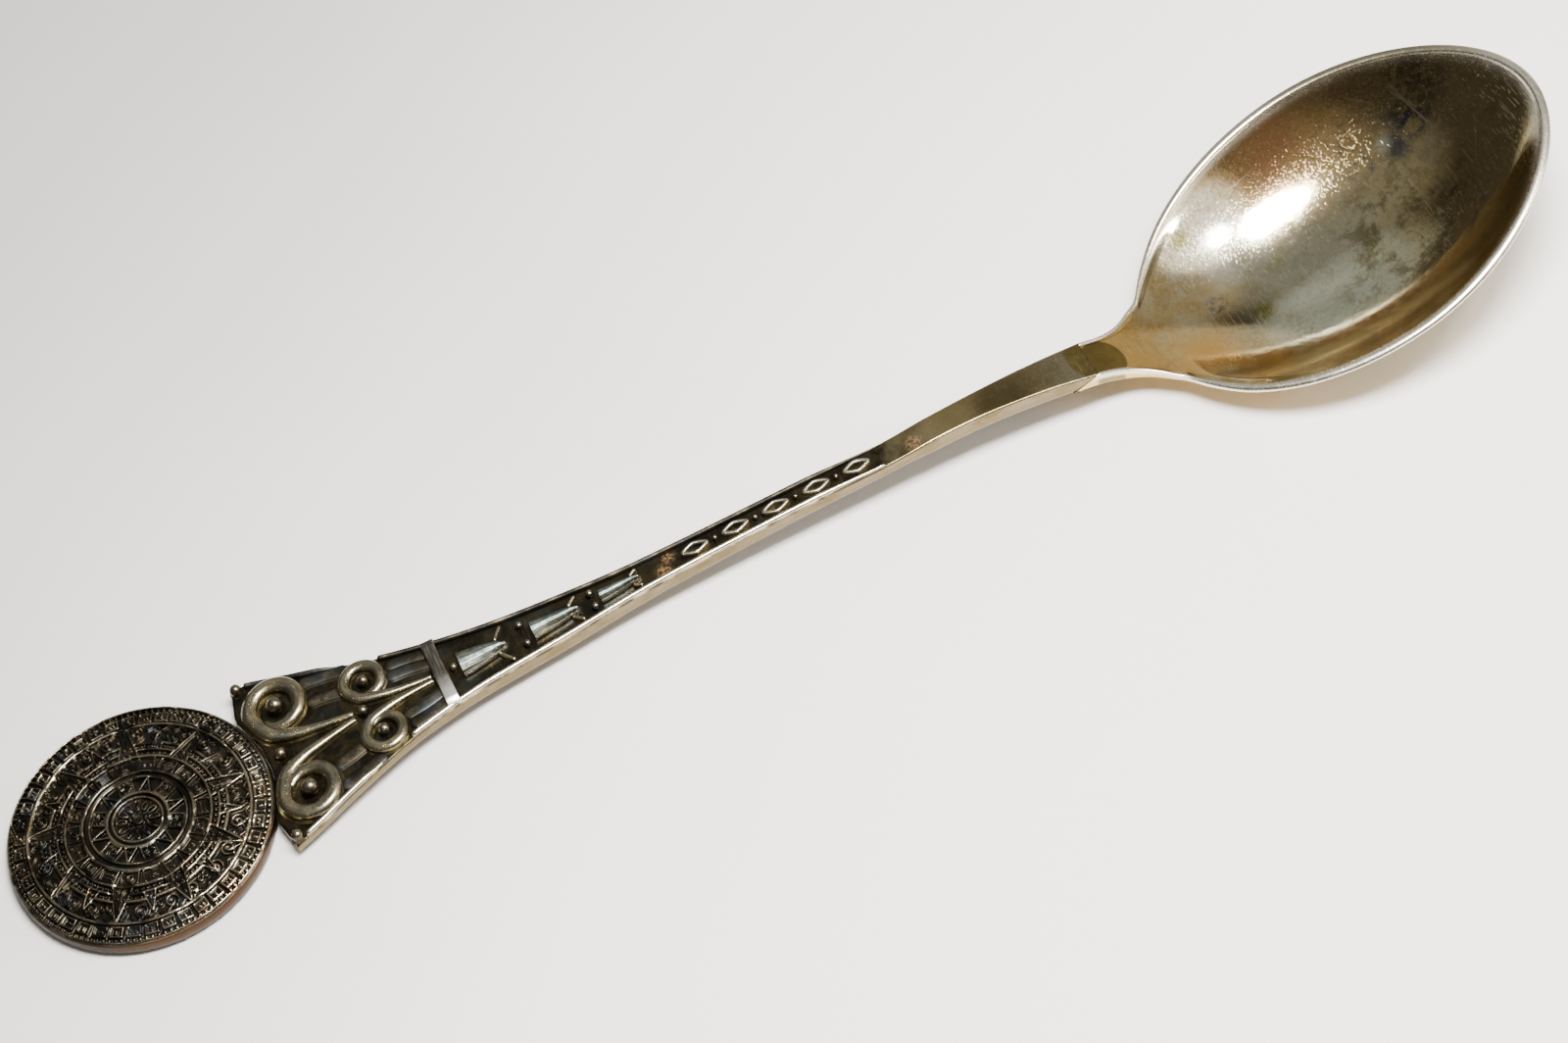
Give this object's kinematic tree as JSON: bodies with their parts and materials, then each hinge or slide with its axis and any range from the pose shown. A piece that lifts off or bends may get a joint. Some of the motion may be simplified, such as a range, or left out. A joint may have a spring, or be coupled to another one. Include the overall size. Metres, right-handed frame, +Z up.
{
  "type": "souvenir spoon",
  "caption": "Silver souvenir teaspoon: an oval bowl soldered to an arched handle that flares to two tips and carries a round medallion in relief, with scrolls, leaves and rails of wire.",
  "frame": {"origin": "on the table under the middle of the spoon's length and width", "axes": "+X along the spoon towards the tip of the bowl, +Y to the spoon's left when seen from above with the bowl ahead, +Z up"},
  "size_m": [0.1241, 0.0252, 0.013],
  "materials": {
    "medallion": "cast silver, heavily oxidised in the hollows, worn bright and coppery on the high parts",
    "handle": "sheet silver, dark oxide on the decorated face, pale gold tarnish on the side walls",
    "bowl": "polished silver with a golden-brown tarnish, blue-black spots and fine scratches",
    "solder": "silver solder, dull and slightly yellow",
    "rails": "drawn silver wire, bright on its top",
    "scrolls": "silver wire, bright on its top and dark at its foot",
    "shot": "silver shot, bright on top, oxidised at the foot",
    "band": "flat silver strip, brushed across",
    "leaves": "stamped silver leaves and wire spurs, bluish oxide in the hollows and bright rims",
    "lozenges": "bent silver wire, bright on its top"
  },
  "bodies": {
    "root": {"medallion": "medallion", "handle": "handle", "bowl": "bowl", "lap_solder": "solder", "tip_rail_left": "rails", "tip_rail_right": "rails", "edge_rail_left": "rails", "edge_rail_right": "rails", "large_scroll_left": "scrolls", "large_scroll_right": "scrolls", "small_scroll_left": "scrolls", "small_scroll_right": "scrolls", "outer_reed_left": "scrolls", "outer_reed_right": "scrolls", "inner_reed_left": "scrolls", "inner_reed_right": "scrolls", "outer_band_reed_left": "scrolls", "outer_band_reed_right": "scrolls", "inner_band_reed_left": "scrolls", "inner_band_reed_right": "scrolls", "tip_shot_left": "shot", "tip_shot_right": "shot", "large_boss_left": "shot", "large_boss_right": "shot", "small_boss_left": "shot", "small_boss_right": "shot", "end_shot": "shot", "middle_shot": "shot", "band_shot": "shot", "leaf_shot_1_left": "shot", "leaf_shot_1_right": "shot", "leaf_shot_2_left": "shot", "leaf_shot_2_right": "shot", "lozenge_shot_1": "shot", "lozenge_shot_2": "shot", "lozenge_shot_3": "shot", "lozenge_shot_4": "shot", "cross_band": "band", "leaf_1": "leaves", "leaf_2": "leaves", "leaf_3": "leaves", "spur_1_left": "leaves", "spur_1_right": "leaves", "spur_2_left": "leaves", "spur_2_right": "leaves", "spur_3_left": "leaves", "spur_3_right": "leaves", "lozenge_1": "lozenges", "lozenge_2": "lozenges", "lozenge_3": "lozenges", "lozenge_4": "lozenges", "lozenge_5": "lozenges"}
  },
  "joints": []
}
